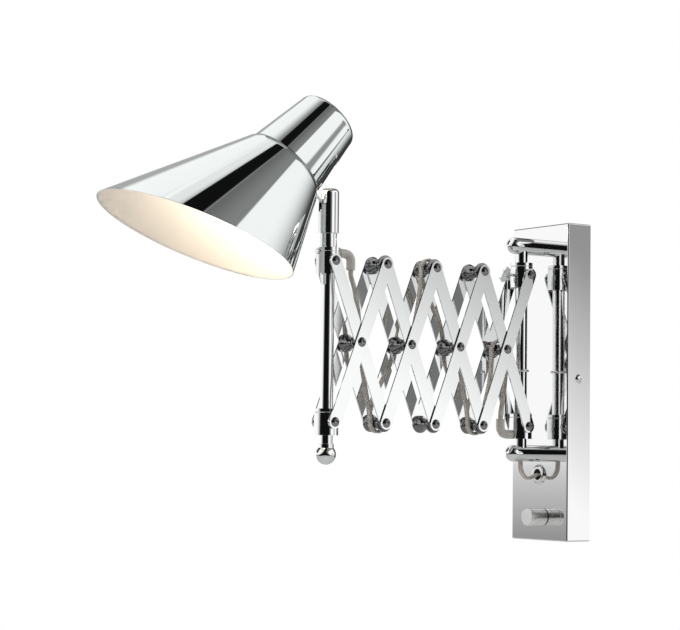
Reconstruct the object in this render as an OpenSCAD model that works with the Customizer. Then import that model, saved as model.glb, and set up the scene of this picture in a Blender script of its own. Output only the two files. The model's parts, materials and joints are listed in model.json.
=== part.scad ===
// Swing arm wall sconce: a mirror-plated wall box carries an upright rod, and a double
// lattice arm of flat bars reaches from it to a front rod with a spun shade on a knuckle.
// Millimetres. The wall is the plane y = 0, the lamp stands out towards -Y, +Z is up, and
// the origin is the middle of the wall box's back.

/* [Wall box] */
// Width of the wall box
box_w = 86; // [70:1:120]
// Height of the wall box
box_h = 318; // [280:1:420]
// Depth of the wall box
box_d = 29.5; // [26:0.5:45]
// Thickness of the cover's sheet
sheet = 1.2; // [0.8:0.1:2]
// Distance between the two wall screws
wall_screw_pitch = 88.9; // [60:0.1:120]

/* [Posts and rods] */
// Diameter of the two horizontal posts
post_d = 16.4; // [14:0.2:20]
// Height of the top post above the middle of the box
post_top_z = 136.8; // [125:0.2:150]
// Height of the bottom post
post_low_z = -72; // [-90:0.5:-68]
// Distance from the cover's face to the middle of the rear rod
rod_off = 24.6; // [22:0.2:40]
// Diameter of both upright rods
rod_d = 12.5; // [10:0.1:14]
// Bore of both rods, for the lead
rod_bore = 7; // [6:0.1:8]
// Height of the middle of the stop ring
stop_z = 11; // [5:0.5:20]

/* [Collars] */
// Diameter of the four collars
collar_d = 23; // [21:0.2:23.4]
// Height of the four collars
collar_h = 25; // [18:0.5:28]
// Height of the top pivots
pivot_z = 107; // [100:0.5:112]

/* [Lattice] */
// Distance between the end holes of a bar
bar_len = 163; // [150:1:168]
// Distance from one cell to the next along the arm
cell = 59; // [50:1:80]
// Width of a bar
bar_w = 12.7; // [10:0.1:16]
// Thickness of a bar
bar_t = 1.5; // [1:0.1:2]
// Clear width between the near and the far lattice
spool_len = 24; // [24:0.2:30]
// Diameter of a spool's flanges
spool_d = 17; // [14:0.2:19]
// Diameter of a spool's waist
waist_d = 11.4; // [9:0.1:12]
// Diameter of a pivot screw's head
head_d = 9.5; // [8:0.1:11]
// Height of a pivot screw's head
head_h = 2.7; // [2:0.1:3.2]

/* [Shade] */
// Outside radius of the shade's cone where it meets the neck
cone_r = 41.8; // [36:0.2:46]
// Half angle of the cone, in degrees
cone_angle = 23.5; // [18:0.5:28]
// Length of the cone along its axis, to the middle of the mouth
cone_len = 106; // [90:1:130]
// Tilt of the mouth against the cone's axis, in degrees
mouth_angle = 22; // [0:1:28]
// Outside radius of the neck at the cone
neck_r = 40.6; // [36:0.2:45]
// Outside radius of the neck at its closed end
neck_end_r = 30.4; // [26:0.2:34]
// Length of the neck
neck_len = 69; // [60:1:90]
// Wall of the spun shade
shade_wall = 1; // [0.8:0.1:1.5]
// Elevation of the shade's axis, in degrees
head_up = 46.4; // [30:0.1:70]
// Turn of the head about the front rod, in degrees
head_turn = 7.4; // [-20:0.1:20]

/* [Hidden] */
$fn = 64;

// Clearances
run_gap = 0.05;      // radial clearance of every running fit
free_gap = 0.3;      // gap between moving faces that don't bear on each other
bar_gap = 0.1;       // gap between two bars that cross
eps = 0.01;

// Places worked out from the sizes above
face_y = -box_d;
rod_y = face_y - rod_off;
drop = sqrt(bar_len * bar_len - cell * cell);
low_z = pivot_z - drop;
front_y = rod_y - 4 * cell;
in_x = spool_len / 2 + bar_gap;            // inner face of the inner bars
out_x = in_x + bar_t + bar_gap;            // inner face of the outer bars
screw_r = 2.5;
socket_r = 1.6;      // six-sided socket of the button-head screws
set_r = 1.5;         // thread radius of the set screw and the thumb screw
lead_d = 4.4;

// Colours
chrome = [0.82, 0.83, 0.85];
dark = [0.25, 0.25, 0.27];
clear = [0.8, 0.76, 0.68];
warm = [0.98, 0.9, 0.75];

// Pivot places: top, bottom and middle pivots, counted from the wall
function top_at(k) = [rod_y - k * cell, pivot_z];
function low_at(k) = [rod_y - k * cell, low_z];
function mid_at(k) = [rod_y - (k + 0.5) * cell, (pivot_z + low_z) / 2];

// ---- helpers ------------------------------------------------------------------------------

// A cylinder along Y from y0 to y1
module y_cyl(r, y0, y1) {
    translate([0, y1, 0]) rotate([90, 0, 0]) cylinder(r = r, h = y1 - y0);
}
// A cylinder along X from x0 to x1
module x_cyl(r, x0, x1) {
    translate([x0, 0, 0]) rotate([0, 90, 0]) cylinder(r = r, h = x1 - x0);
}
// Puts children at a pivot, given as [y, z]
module at(p) { translate([0, p[0], p[1]]) children(); }
// Children on the near and on the far side
module both_sides() { children(); mirror([1, 0, 0]) children(); }
// A low domed head, its base at x = 0
module plain_head(r, h) {
    ball = (r * r + h * h) / (2 * h);
    rotate([0, 90, 0]) rotate_extrude() intersection() {
        translate([0, h - ball]) circle(r = ball, $fn = 96);
        square([r, h]);
    }
}
// The same head with a six-sided socket
module button_head(r, h) {
    difference() {
        plain_head(r, h);
        x_cyl(socket_r, h - socket_r, h + 1, $fn = 6);
    }
}
// A tube swept along points that lie near a plane of constant x
function unit(v) = v / norm(v);
function tangent(p, i) = unit(p[min(i + 1, len(p) - 1)] - p[max(i - 1, 0)]);
function ring(p, i, r, n) = let (t = tangent(p, i), a = unit(cross(t, [1, 0, 0])), b = cross(t, a))
    [for (k = [0:n - 1]) p[i] + r * (cos(360 * k / n) * a + sin(360 * k / n) * b)];
function smooth(p, n) = [for (i = [0:len(p) - 2]) for (s = [0:n - 1])
    let (a = p[max(i - 1, 0)], b = p[i], c = p[i + 1], d = p[min(i + 2, len(p) - 1)], t = s / n)
    0.5 * (2 * b + (c - a) * t + (2 * a - 5 * b + 4 * c - d) * t * t
        + (3 * b - a - 3 * c + d) * t * t * t), p[len(p) - 1]];
module sweep(p, r, n = 8) {
    m = len(p);
    polyhedron(points = [for (i = [0:m - 1]) each ring(p, i, r, n)],
        faces = concat([[for (k = [0:n - 1]) k]],
            [for (i = [0:m - 2]) for (k = [0:n - 1])
                [i * n + k, (i + 1) * n + k, (i + 1) * n + (k + 1) % n, i * n + (k + 1) % n]],
            [[for (k = [n - 1:-1:0]) (m - 1) * n + k]]));
}
// A lead along [y, z] points in the middle plane of the lamp
module lead(p) { color(clear) sweep(smooth([for (q = p) [0, q[0], q[1]]], 2), lead_d / 2); }

// ---- wall box -----------------------------------------------------------------------------

cord_hole_z = -93;      // height of the grommet
knob_z = -135.5;        // height of the dimmer knob
knob_x = 6;             // how far the knob stands to the right of the middle
side_screw_z = 3;       // height of the two cover screws
side_screw_y = -box_d / 2;
bracket_t = 2;          // thickness of the bracket's plate
bracket_w = box_w - 2 * sheet - 1;
bracket_h = box_h - 40;
tab_h = 24;             // height of the bracket's two side tabs
bush_r = 5;             // outside radius of the dimmer's threaded bush
grommet_r = 6.5;        // outside radius of the grommet's tube
grommet_bore = 5.5;
lip_start = 7.4;        // where the grommet's rounded lip begins
lip_r = 2.6;

module wall_cover() {
    color(chrome) difference() {
        translate([-box_w / 2, -box_d, -box_h / 2]) cube([box_w, box_d, box_h]);
        translate([-box_w / 2 + sheet, -box_d + sheet, -box_h / 2 + sheet])
            cube([box_w - 2 * sheet, box_d, box_h - 2 * sheet]);
        for (z = [post_top_z, post_low_z]) translate([0, 0, z])
            y_cyl(screw_r + run_gap, -box_d - 1, -box_d + sheet + 1);
        translate([0, 0, cord_hole_z]) y_cyl(grommet_r, -box_d - 1, -box_d + sheet + 1);
        translate([knob_x, 0, knob_z]) y_cyl(bush_r, -box_d - 1, -box_d + sheet + 1);
        translate([0, side_screw_y, side_screw_z]) x_cyl(2.05, -box_w, box_w);
    }
}

module wall_bracket() {
    color(dark) difference() {
        union() {
            translate([-bracket_w / 2, -bracket_t, -bracket_h / 2]) cube([bracket_w, bracket_t, bracket_h]);
            both_sides() translate([bracket_w / 2 - bracket_t, -box_d + 6, side_screw_z - tab_h / 2])
                cube([bracket_t, box_d - 6, tab_h]);
        }
        for (s = [-1, 1]) translate([0, 0, s * wall_screw_pitch / 2]) y_cyl(2.6, -10, 1);
        translate([0, 0, cord_hole_z + 35]) y_cyl(8, -10, 1);
        translate([0, side_screw_y, side_screw_z]) x_cyl(2, -box_w, box_w);
    }
}

module cover_screws() {
    color(chrome) both_sides() translate([0, side_screw_y, side_screw_z]) difference() {
        union() {
            translate([box_w / 2, 0, 0]) plain_head(4.7, 2.2);
            x_cyl(2, box_w / 2 - 7, box_w / 2 + eps);
        }
        for (a = [0, 90]) rotate([a, 0, 0]) translate([box_w / 2 + 0.8, -0.5, -2.4]) cube([3, 1, 4.8]);
    }
}

module post_screws() {
    color(dark) for (z = [post_top_z, post_low_z]) translate([0, 0, z]) {
        y_cyl(screw_r, face_y - 12, face_y + sheet + eps);
        y_cyl(4.6, face_y + sheet, face_y + sheet + 3);
    }
}

// ---- posts and rear rod -------------------------------------------------------------------

cap_start = rod_off + rod_d / 2 + 0.6;   // where the ball-ended cap begins, from the cover
cap_mid = 33.9;                          // middle of the cap's ball, from the cover
rod_seat = 5;                            // how far the rear rod reaches past the posts' middles

module post(z, lead_hole) {
    color(chrome) difference() {
        translate([0, 0, z]) y_cyl(post_d / 2, face_y - cap_start, face_y);
        translate([0, 0, z]) y_cyl(screw_r, face_y - 13, face_y + 1);
        translate([0, rod_y, lead_hole ? z - rod_seat : z - post_d])
            cylinder(r = rod_d / 2 + run_gap, h = lead_hole ? post_d : post_d + rod_seat);
        if (lead_hole) translate([0, rod_y, z - post_d]) cylinder(r = rod_bore / 2, h = post_d);
    }
}
module top_post() { post(post_top_z, false); }
module bottom_post() { post(post_low_z, true); }

module post_end_caps() {
    color(chrome) for (z = [post_top_z, post_low_z]) translate([0, face_y - cap_start, z])
        rotate([90, 0, 0]) rotate_extrude() {
            square([post_d / 2, cap_mid - cap_start]);
            translate([0, cap_mid - cap_start]) intersection() {
                circle(r = post_d / 2, $fn = 96);
                square(post_d);
            }
        }
}

slot_w = lead_d + 0.8;
module rear_rod() {
    color(chrome) translate([0, rod_y, 0]) difference() {
        translate([0, 0, post_low_z - rod_seat]) cylinder(r = rod_d / 2, h = post_top_z - post_low_z + 2 * rod_seat);
        translate([0, 0, post_low_z - rod_seat - 1]) cylinder(r = rod_bore / 2, h = stop_z - 4 - post_low_z + rod_seat);
        translate([-slot_w / 2, -rod_d, low_z - 10]) cube([slot_w, rod_d, stop_z - 6 - low_z + 2]);
    }
}
module stop_ring() {
    color(chrome) translate([0, rod_y, stop_z]) rotate_extrude() difference() {
        union() {
            translate([rod_d / 2 + 0.8, 0]) circle(r = 1.2);
            translate([rod_d / 2, -1.2]) square([0.8, 2.4]);
        }
        translate([0, -5]) square([rod_d / 2 + run_gap, 10]);
    }
}

// ---- dimmer, grommet and wiring -----------------------------------------------------------

module cord_grommet() {
    color(chrome) translate([0, 0, cord_hole_z]) rotate([90, 0, 0]) rotate_extrude() {
        translate([grommet_bore, box_d - 4]) square([grommet_r - grommet_bore, 4]);
        translate([grommet_bore, box_d - sheet - 2]) square([4, 2]);
        translate([grommet_bore, box_d]) square([lip_start - grommet_bore, lip_r]);
        translate([lip_start, box_d]) intersection() { circle(r = lip_r); square(lip_r); }
    }
}
module dimmer_body() {
    color(dark) difference() {
        union() {
            translate([knob_x, 0, knob_z]) y_cyl(12, face_y + sheet, face_y + sheet + 15);
            translate([knob_x, 0, knob_z]) y_cyl(bush_r, face_y - 2.6, face_y + sheet + eps);
        }
        translate([knob_x, 0, knob_z]) y_cyl(3 + run_gap, face_y - 5, face_y + sheet + 8);
    }
}
module dimmer_nut() {
    color(chrome) translate([knob_x, 0, knob_z]) difference() {
        y_cyl(6.6, face_y - 2, face_y, $fn = 6);
        y_cyl(bush_r, face_y - 3, face_y + 1);
    }
}
knob_r = 8.65;
knob_len = 21;
module dimmer_knob() {
    color(chrome) translate([knob_x, 0, knob_z]) difference() {
        union() {
            translate([0, face_y - 0.8, 0]) rotate([90, 0, 0]) rotate_extrude() difference() {
                square([knob_r, knob_len - 0.8]);
                for (y = [5, knob_len - 5]) translate([knob_r, y]) circle(r = 0.45);
                translate([knob_r - 0.6, knob_len - 1.4]) difference() {
                    square(2);
                    circle(r = 0.6);
                }
                translate([0, -1]) square([7.2, 4]);
            }
            y_cyl(3, face_y - knob_len / 2, face_y + sheet + 7);
        }
    }
}
module terminal_block() {
    color([0.9, 0.9, 0.88]) difference() {
        translate([-15, -bracket_t - 14, -62]) cube([30, 14, 16]);
        for (x = [-9.5, 0, 9.5]) {
            translate([x, -bracket_t - 6, -70]) cylinder(r = 2.6, h = 30);
            translate([x, 0, -54]) y_cyl(2, -bracket_t - 15, -bracket_t - 6);
        }
    }
}
// The lead inside the rear rod, round its loop, through the grommet and on to the terminals
loop_pts = [[-54.1, -52], [-54.1, -66], [-54.1, -80], [-53.4, -88], [-50, -94], [-44, -96.8], [-38, -95.4],
    [-33, -93.6], [-26, -92.6], [-18, -90], [-11.5, -84], [-8.5, -74], [-8, -62.3]];
module cord_loop() { lead(loop_pts); }

// ---- collars ------------------------------------------------------------------------------

// A collar on an upright rod at [y, z], with a boss on each side out to boss_x
module collar(p, boss_x) {
    color(chrome) at(p) difference() {
        union() {
            translate([0, 0, -collar_h / 2]) cylinder(r = collar_d / 2, h = collar_h);
            x_cyl(5.2, -boss_x, boss_x);
        }
        translate([0, 0, -collar_h]) cylinder(r = rod_d / 2 + run_gap, h = 2 * collar_h);
        both_sides() x_cyl(screw_r + run_gap, rod_d / 2 + 1, boss_x + 1);
        rotate_extrude() translate([collar_d / 2, collar_h / 2 - 3.5]) circle(r = 0.4);
        children();
    }
}
outer_boss = out_x - bar_gap;
inner_boss = in_x - bar_gap;
thumb_reach = 21.7;     // middle of the thumb screw's wing, from the rod's axis
set_screw_z = 8.5;      // height of the set screw above the front top pivot
module rear_top_collar() { collar(top_at(0), outer_boss) y_cyl(set_r + run_gap, -collar_d, 0); }
module thumb_screw() {
    color(chrome) at(top_at(0)) {
        y_cyl(set_r, -thumb_reach + 4, -rod_d / 2 - free_gap);
        translate([0, -thumb_reach, 0]) rotate([0, 35, 0]) {
            translate([-1.3, -4.2, -4]) cube([2.6, 8.4, 8]);
            for (z = [-4, 4]) translate([0, 0, z]) x_cyl(4.2, -1.3, 1.3);
        }
    }
}
lead_hole_z = 8.2;      // from the middle of a collar to the hole that the lead goes into
module rear_bottom_collar() {
    collar(low_at(0), inner_boss) translate([0, 0, -lead_hole_z]) y_cyl(lead_d / 2 + free_gap, -collar_d, 0);
}
module front_top_collar() {
    collar(top_at(4), inner_boss) {
        translate([0, 0, set_screw_z]) y_cyl(set_r + run_gap, -collar_d, 0);
        translate([0, 0, lead_hole_z]) y_cyl(lead_d / 2 + free_gap, 0, collar_d);
    }
}
module front_bottom_collar() { collar(low_at(4), outer_boss); }
module collar_set_screw() {
    color(chrome) at(top_at(4)) translate([0, 0, set_screw_z]) {
        y_cyl(set_r, -collar_d / 2 - 0.5, -rod_d / 2 - free_gap);
        y_cyl(2.6, -collar_d / 2 - 2.2, -collar_d / 2 - 0.2);
    }
}
// A clear elbow on one side of a collar: it turns the lead from its run into the collar's hole.
// Its points are [out from the rod's axis, up from the pivot].
elbow_r = 4.4;
turn_pts = [[26, -9], [26, 0], [25.4, 4], [22.6, 7.2], [18, 8.2], [8, 8.2]];
module turned(p, side, pts, r, n) {
    at(p) sweep(smooth([for (q = pts) [0, side * q[0], side * q[1]]], 3), r, n);
}
module elbow(p, side) {
    color(clear) difference() {
        turned(p, side, [[26, -7], [26, 0], [25.4, 4], [22.6, 7.2], [18, 8.2], [12.4, 8.2]], elbow_r, 16);
        turned(p, side, [[26, -9], [26, 0], [25.4, 4], [22.6, 7.2], [18, 8.2], [10, 8.2]], lead_d / 2 + free_gap, 12);
        at(p) translate([0, 0, -30]) cylinder(r = collar_d / 2 + free_gap, h = 60);
    }
}
module rear_cord_clip() { elbow(low_at(0), -1); }
module front_cord_clip() { elbow(top_at(4), 1); }
// The lead's run through the front elbow into the collar
module lead_front() { color(clear) turned(top_at(4), 1, turn_pts, lead_d / 2, 12); }

// ---- lattice ------------------------------------------------------------------------------

// A pair of flat bars with rounded ends and three holes, from pivot p to pivot q
module bar_pair(p, q, x0) {
    v = q - p;
    len = norm(v);
    color(chrome) both_sides() at(p) rotate([atan2(v[1], v[0]), 0, 0]) difference() {
        union() {
            translate([x0, 0, -bar_w / 2]) cube([bar_t, len, bar_w]);
            for (y = [0, len]) translate([0, y, 0]) x_cyl(bar_w / 2, x0, x0 + bar_t);
        }
        for (y = [0, len / 2, len]) translate([0, y, 0]) x_cyl(screw_r + run_gap, x0 - 1, x0 + bar_t + 1);
    }
}
module bars_a(k) { bar_pair(top_at(k), low_at(k + 1), out_x); }
module bars_b(k) { bar_pair(low_at(k), top_at(k + 1), in_x); }

// A button-head screw on each side of a pivot, from head_x inwards to tip_x
module pivot_pair(p, head_x, tip_x) {
    color(chrome) both_sides() at(p) {
        translate([head_x, 0, 0]) button_head(head_d / 2, head_h);
        x_cyl(screw_r, tip_x, head_x + eps);
    }
}
collar_tip = rod_d / 2 + 1.3;
spool_tip = spool_len / 2 - 8;
module screws_a(k) {
    head_x = out_x + bar_t;
    pivot_pair(top_at(k), head_x, k == 0 ? collar_tip : spool_tip);
    pivot_pair(mid_at(k), head_x, spool_tip);
    pivot_pair(low_at(k + 1), head_x, k == 3 ? collar_tip : spool_tip);
}
module screws_b0() { pivot_pair(low_at(0), in_x + bar_t, collar_tip); }
module screws_b3() { pivot_pair(top_at(4), in_x + bar_t, collar_tip); }

// A turned spool between the lattices, with a hollow waist and a blind hole at each end
module spool(p) {
    dip = (spool_d - waist_d) / 2;
    half = spool_len / 2 - 2.5;
    bend = (half * half + dip * dip) / (2 * dip);
    color(chrome) at(p) rotate([0, 90, 0]) rotate_extrude() difference() {
        translate([0, -spool_len / 2]) square([spool_d / 2, spool_len]);
        translate([waist_d / 2 + bend, 0]) circle(r = bend, $fn = 96);
        for (s = [0, 1]) mirror([0, s]) translate([-1, spool_tip - 0.5])
            square([1 + screw_r + run_gap, spool_len]);
    }
}
module spools_a(k) {
    if (k > 0) spool(top_at(k));
    spool(mid_at(k));
    if (k < 3) spool(low_at(k + 1));
}

// One module for each cell's nodes
module bars_a0() { bars_a(0); }
module bars_b0() { bars_b(0); }
module screws_a0() { screws_a(0); }
module spools_a0() { spools_a(0); }
module bars_a1() { bars_a(1); }
module bars_b1() { bars_b(1); }
module screws_a1() { screws_a(1); }
module spools_a1() { spools_a(1); }
module bars_a2() { bars_a(2); }
module bars_b2() { bars_b(2); }
module screws_a2() { screws_a(2); }
module spools_a2() { spools_a(2); }
module bars_a3() { bars_a(3); }
module bars_b3() { bars_b(3); }
module screws_a3() { screws_a(3); }
module spools_a3() { spools_a(3); }

// The lead woven round the spools, as [y, z] points, from the front collar to the rear one
lead_b3_pts = [[-260, 86], [-256, 68], [-253.4, 50], [-252, 31], [-250, 12], [-246, -10],
    [-242, -28], [-239.4, -42]];
lead_a2_pts = [[-231, -53.2], [-225.4, -50.8], [-222.6, -44], [-218, -26], [-207, -4], [-196, 16], [-192, 36],
    [-187, 56], [-183, 76], [-181, 94], [-180.4, 104]];
lead_b1_pts = [[-172, 115.3], [-166, 112.8], [-163, 105], [-157, 88], [-146, 68], [-137, 50], [-134, 31],
    [-132, 12], [-127, -12], [-123, -30], [-121.3, -41]];
lead_a0_pts = [[-113, -53.8], [-107.1, -51.2], [-104.2, -43], [-100, -24], [-95, -4], [-92.4, 14], [-91.9, 29]];
lead_b0_pts = [[-83, 39.3], [-77.4, 36.4], [-75.2, 29], [-74, 14], [-75, -2], [-77.6, -20]];
module lead_b3() { lead(lead_b3_pts); }
module lead_a2() { lead(lead_a2_pts); }
module lead_b1() { lead(lead_b1_pts); }
module lead_a0() { lead(lead_a0_pts); }
module lead_b0() { lead(lead_b0_pts); }

// ---- front rod and clevis -----------------------------------------------------------------

sleeve_z = pivot_z + collar_h / 2 + free_gap;
sleeve_h = 13.4;
clevis_d = 19.2;
clevis_z = sleeve_z + sleeve_h;
clevis_h = 42.5;
hinge_z = clevis_z + clevis_h - 10.7;
clevis_slot = 6.4;
ball_r = 9.6;
ball_z = low_z - collar_h / 2 - 18;
hinge_r = 2;
seat_x = clevis_d / 2 - 1.6;     // where the hinge screw's head sits
hinge_end = clevis_d / 2 - 2;    // where its thread ends in the near lug

module head_place() { translate([0, front_y, 0]) rotate([0, 0, -head_turn]) children(); }

module front_rod() {
    color(chrome) translate([0, front_y, 0]) difference() {
        translate([0, 0, ball_z + 5]) cylinder(r = rod_d / 2, h = clevis_z + 8 - ball_z - 5);
        translate([0, 0, ball_z + 12]) cylinder(r = rod_bore / 2, h = clevis_z + 40 - ball_z);
    }
}
module rod_sleeve() {
    color(chrome) translate([0, front_y, sleeve_z]) difference() {
        cylinder(r = 8, h = sleeve_h);
        translate([0, 0, -1]) cylinder(r = rod_d / 2 + run_gap, h = sleeve_h + 2);
    }
}
module rod_finial() {
    color(chrome) translate([0, front_y, ball_z]) difference() {
        union() {
            sphere(r = ball_r, $fn = 96);
            cylinder(r = 7.4, h = ball_r + 0.4);
        }
        translate([0, 0, 5 - run_gap]) cylinder(r = rod_d / 2 + run_gap, h = 20);
    }
}
module clevis() {
    color(chrome) head_place() difference() {
        union() {
            translate([0, 0, clevis_z]) cylinder(r = clevis_d / 2, h = clevis_h - 4);
            translate([0, 0, clevis_z + clevis_h - 4]) rotate_extrude() {
                square([clevis_d / 2 - 4, 4]);
                translate([clevis_d / 2 - 4, 0]) intersection() { circle(r = 4); square(4); }
            }
        }
        translate([0, 0, clevis_z - 1]) cylinder(r = rod_d / 2 + run_gap, h = 9.1);
        translate([0, 0, clevis_z]) cylinder(r = rod_bore / 2, h = clevis_h / 2);
        translate([-clevis_slot / 2, -clevis_d, clevis_z + 20.5]) cube([clevis_slot, 2 * clevis_d, clevis_h]);
        translate([0, 0, hinge_z]) x_cyl(hinge_r + run_gap, -clevis_d, hinge_end + free_gap);
        mirror([1, 0, 0]) translate([0, 0, hinge_z]) x_cyl(4.6, seat_x, clevis_d);
    }
}
module hinge_screw() {
    color(chrome) head_place() translate([0, 0, hinge_z]) {
        mirror([1, 0, 0]) translate([seat_x, 0, 0]) button_head(4.3, 2.4);
        x_cyl(hinge_r, -seat_x - eps, hinge_end);
    }
}

// ---- head ---------------------------------------------------------------------------------

axis_off = 54.5;        // from the hinge to the shade's axis
joint_back = 12;        // from the hinge back along the axis to the joint of cone and neck
slot_share = 0.55;      // how much of the neck's length its slot takes
neck_slot_w = 36;
end_round = 7;          // rounding of the neck's closed end
knuckle_r = 6.8;
saddle_w = 18;          // the saddle that holds the knuckle on the lampholder
saddle_h = 22;
holder_r = 20;
holder_z = 8;
holder_h = 46;

// The shade's own frame: +Z along the axis to the closed end, +Y to the underside
module shade_place() {
    head_place() translate([0, 0, hinge_z]) rotate([head_up - 90, 0, 0])
        translate([0, -axis_off, -joint_back]) children();
}

knuckle_t = clevis_slot - 0.4;
module knuckle() {
    color(chrome) shade_place() difference() {
        translate([0, axis_off, joint_back]) union() {
            x_cyl(knuckle_r, -knuckle_t / 2, knuckle_t / 2);
            translate([-knuckle_t / 2, holder_r - axis_off, -knuckle_r])
                cube([knuckle_t, axis_off - holder_r, 2 * knuckle_r]);
            translate([-saddle_w / 2, holder_r - axis_off - 3, -2]) cube([saddle_w, 5.5, saddle_h]);
        }
        translate([0, 0, -5]) cylinder(r = holder_r + run_gap, h = 90);
        translate([0, axis_off, joint_back]) x_cyl(hinge_r + run_gap, -saddle_w, saddle_w);
    }
}
module lampholder() {
    color([0.93, 0.93, 0.9]) shade_place() difference() {
        translate([0, 0, holder_z]) cylinder(r = holder_r, h = holder_h);
        translate([0, 0, holder_z - 1]) cylinder(r = 13.8, h = 34);
        for (z = [4, 9, 14]) translate([0, 0, holder_z + z])
            rotate_extrude() translate([holder_r, 0]) circle(r = 0.7);
    }
}
module holder_nut() {
    color(chrome) shade_place() {
        translate([0, 0, holder_z + holder_h]) cylinder(r = 5, h = neck_len - holder_z - holder_h + 1);
        translate([0, 0, neck_len - shade_wall - 5]) cylinder(r = 9, h = 5);
        translate([0, 0, neck_len]) cylinder(r = 8, h = 3);
    }
}
bulb_r = 30;
bulb_z = -44;
module bulb_glass() {
    color(warm) shade_place() rotate_extrude() polygon(concat([[0, bulb_z - bulb_r]],
        [for (a = [-80:8:32]) [bulb_r * cos(a), bulb_z + bulb_r * sin(a)]],
        [[19, -9], [14.5, 2], [13, holder_z + 2], [0, holder_z + 2]]));
}
module bulb_cap() {
    color([0.75, 0.72, 0.6]) shade_place() translate([0, 0, holder_z + 2]) {
        cylinder(r = 13.2, h = 22);
        translate([0, 0, 22]) cylinder(r1 = 13, r2 = 6, h = 4);
        translate([0, 0, 26]) cylinder(r = 4, h = 2);
    }
}
// Outline of the cone from its shoulder down: a point on the slope at height z, moved in by w
function cone_at(z, w) = [cone_r - z * tan(cone_angle) - w / cos(cone_angle), z];
module cone_solid(w, top, low) {
    rotate_extrude() polygon([[0, top], [cone_at(0, w)[0] - 3, top], [cone_at(0, w)[0] - 1.1, top - 0.5],
        [cone_at(0, w)[0] - 0.1, top - 1.8], cone_at(top - 4, w), cone_at(low, w), [0, low]]);
}
module shade_cone() {
    color(chrome) shade_place() difference() {
        cone_solid(0, 0, -2 * cone_len);
        cone_solid(shade_wall, -shade_wall, -2 * cone_len - 1);
        translate([0, 0, -10]) cylinder(r = bulb_r + 3, h = 20);
        translate([0, 0, -cone_len]) rotate([mouth_angle, 0, 0])
            translate([-300, -300, -500]) cube([600, 600, 500]);
    }
}
module neck_solid(w) {
    slope = (neck_r - neck_end_r) / neck_len;
    h = neck_len - w;
    r = end_round - w;
    rotate_extrude() polygon(concat([[0, w == 0 ? 0 : -1], [neck_r - w, w == 0 ? 0 : -1]],
        [for (a = [0:15:90]) [neck_r - w - slope * (h - r) - r + r * cos(a), h - r + r * sin(a)]],
        [[0, h]]));
}
module shade_neck() {
    color(chrome) shade_place() difference() {
        neck_solid(0);
        neck_solid(shade_wall);
        cylinder(r = 5, h = 2 * neck_len);
        translate([-neck_slot_w / 2, 0, -1]) cube([neck_slot_w, 60, neck_len * slot_share + 1]);
    }
}

wall_cover();
wall_bracket();
cover_screws();
post_screws();
top_post();
bottom_post();
post_end_caps();
rear_rod();
stop_ring();
cord_grommet();
dimmer_body();
dimmer_nut();
dimmer_knob();
terminal_block();
cord_loop();
rear_top_collar();
thumb_screw();
rear_bottom_collar();
rear_cord_clip();
bars_a0();
bars_a1();
bars_a2();
bars_a3();
bars_b0();
bars_b1();
bars_b2();
bars_b3();
screws_a0();
screws_a1();
screws_a2();
screws_a3();
screws_b0();
screws_b3();
spools_a0();
spools_a1();
spools_a2();
spools_a3();
lead_b3();
lead_a2();
lead_b1();
lead_a0();
lead_b0();
front_top_collar();
front_cord_clip();
lead_front();
collar_set_screw();
front_bottom_collar();
front_rod();
rod_sleeve();
rod_finial();
clevis();
hinge_screw();
knuckle();
lampholder();
holder_nut();
bulb_glass();
bulb_cap();
shade_neck();
shade_cone();
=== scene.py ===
# %% [markdown]
# # A chrome wall lamp on a scissor arm
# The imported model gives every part's place and size. This file adds the looks: turned and
# pressed metal with soft edges, a spun shade with a warm enamel lining, and the clear lead
# woven through the lattice. Everything is in metres, in the model's own frame.

# %% Load the frame
import json
import math
import bmesh
import bpy
from mathutils import Matrix, Vector


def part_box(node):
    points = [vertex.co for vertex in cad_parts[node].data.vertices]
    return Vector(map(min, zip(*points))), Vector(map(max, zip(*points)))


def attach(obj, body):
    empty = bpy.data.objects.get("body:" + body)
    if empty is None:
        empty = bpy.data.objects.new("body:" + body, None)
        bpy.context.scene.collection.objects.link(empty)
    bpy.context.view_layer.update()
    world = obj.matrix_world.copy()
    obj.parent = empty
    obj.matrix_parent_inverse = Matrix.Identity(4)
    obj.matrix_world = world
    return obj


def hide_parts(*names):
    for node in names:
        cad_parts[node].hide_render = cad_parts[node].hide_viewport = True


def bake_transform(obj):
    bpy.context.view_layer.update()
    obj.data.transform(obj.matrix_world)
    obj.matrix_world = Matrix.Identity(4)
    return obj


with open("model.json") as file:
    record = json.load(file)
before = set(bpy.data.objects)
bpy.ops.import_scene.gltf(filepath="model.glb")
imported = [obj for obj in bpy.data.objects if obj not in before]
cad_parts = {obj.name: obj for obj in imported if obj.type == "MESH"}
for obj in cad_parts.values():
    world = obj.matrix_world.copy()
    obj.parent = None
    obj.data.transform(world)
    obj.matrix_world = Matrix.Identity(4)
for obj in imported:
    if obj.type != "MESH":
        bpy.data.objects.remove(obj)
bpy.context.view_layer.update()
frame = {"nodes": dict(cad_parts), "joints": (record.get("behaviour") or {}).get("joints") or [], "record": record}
joints = {j["name"]: j for j in frame["joints"]}
MM = 0.001

# %% [markdown]
# ## Camera
# The camera looks a little upwards at the arm from its right side, from about two metres,
# with a long lens, so that the box and the shade keep nearly the same scale.

# %% Camera
CAM_AT = Vector((1.624, -1.389, -0.0745))
CAM_AZIMUTH, CAM_PITCH, CAM_ROLL = map(math.radians, (55.57, 3.81, 0.707))
CAM_LENS = 110.2

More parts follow.
